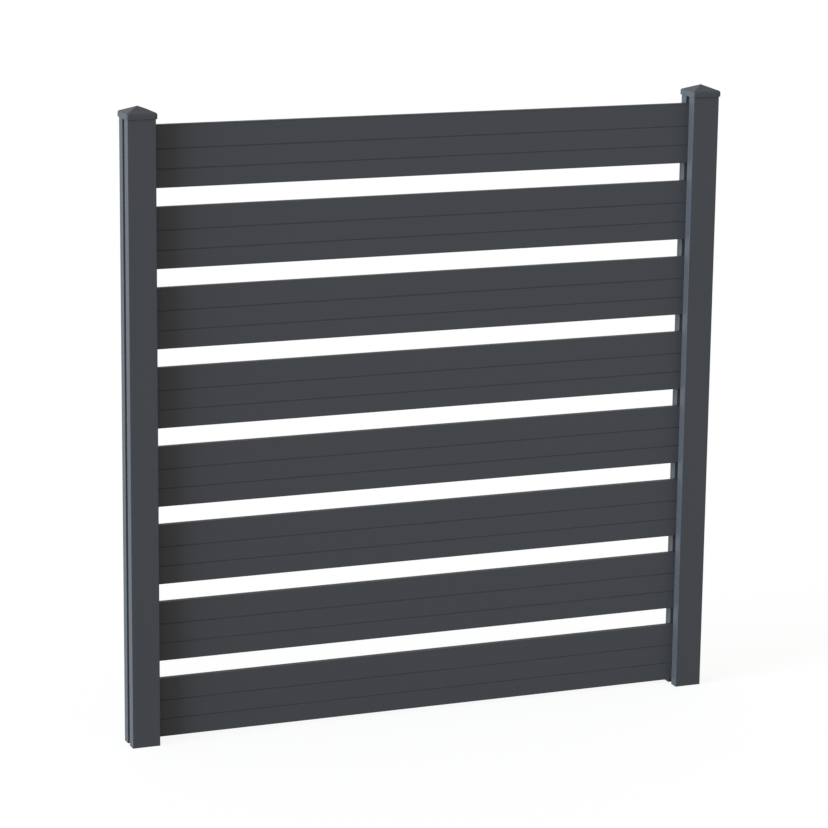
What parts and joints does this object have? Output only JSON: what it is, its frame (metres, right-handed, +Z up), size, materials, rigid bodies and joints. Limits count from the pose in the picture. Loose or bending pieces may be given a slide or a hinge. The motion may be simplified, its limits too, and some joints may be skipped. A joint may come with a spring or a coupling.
{
  "type": "garden privacy screen",
  "caption": "Slot-in garden privacy screen: horizontal grooved hollow boards with open gaps between them, held at their ends in two slotted square posts with low pyramid caps.",
  "frame": {"origin": "on the ground, midway between the two posts and in the middle of their depth", "axes": "+X along the screen from the left post to the right one, -Y towards the front, +Z up"},
  "size_m": [1.7682, 0.0882, 1.7936],
  "materials": {
    "coated_aluminium": "anthracite grey powder coat, fine matt texture",
    "cap_plastic": "anthracite grey moulded plastic, satin matt",
    "block_plastic": "black moulded plastic, matt",
    "screw_steel": "steel, blackened"
  },
  "bodies": {
    "root": {"left_post": "coated_aluminium", "right_post": "coated_aluminium", "left_cap": "cap_plastic", "right_cap": "cap_plastic", "board_1": "coated_aluminium", "board_2": "coated_aluminium", "board_3": "coated_aluminium", "board_4": "coated_aluminium", "board_5": "coated_aluminium", "board_6": "coated_aluminium", "board_7": "coated_aluminium", "board_8": "coated_aluminium", "top_strip": "coated_aluminium", "left_base_block": "block_plastic", "right_base_block": "block_plastic", "left_top_block": "block_plastic", "right_top_block": "block_plastic", "left_spacer_1": "block_plastic", "left_spacer_2": "block_plastic", "left_spacer_3": "block_plastic", "left_spacer_4": "block_plastic", "left_spacer_5": "block_plastic", "left_spacer_6": "block_plastic", "left_spacer_7": "block_plastic", "right_spacer_1": "block_plastic", "right_spacer_2": "block_plastic", "right_spacer_3": "block_plastic", "right_spacer_4": "block_plastic", "right_spacer_5": "block_plastic", "right_spacer_6": "block_plastic", "right_spacer_7": "block_plastic", "left_base_screw": "screw_steel", "left_top_screw": "screw_steel", "right_base_screw": "screw_steel", "right_top_screw": "screw_steel"}
  },
  "joints": []
}
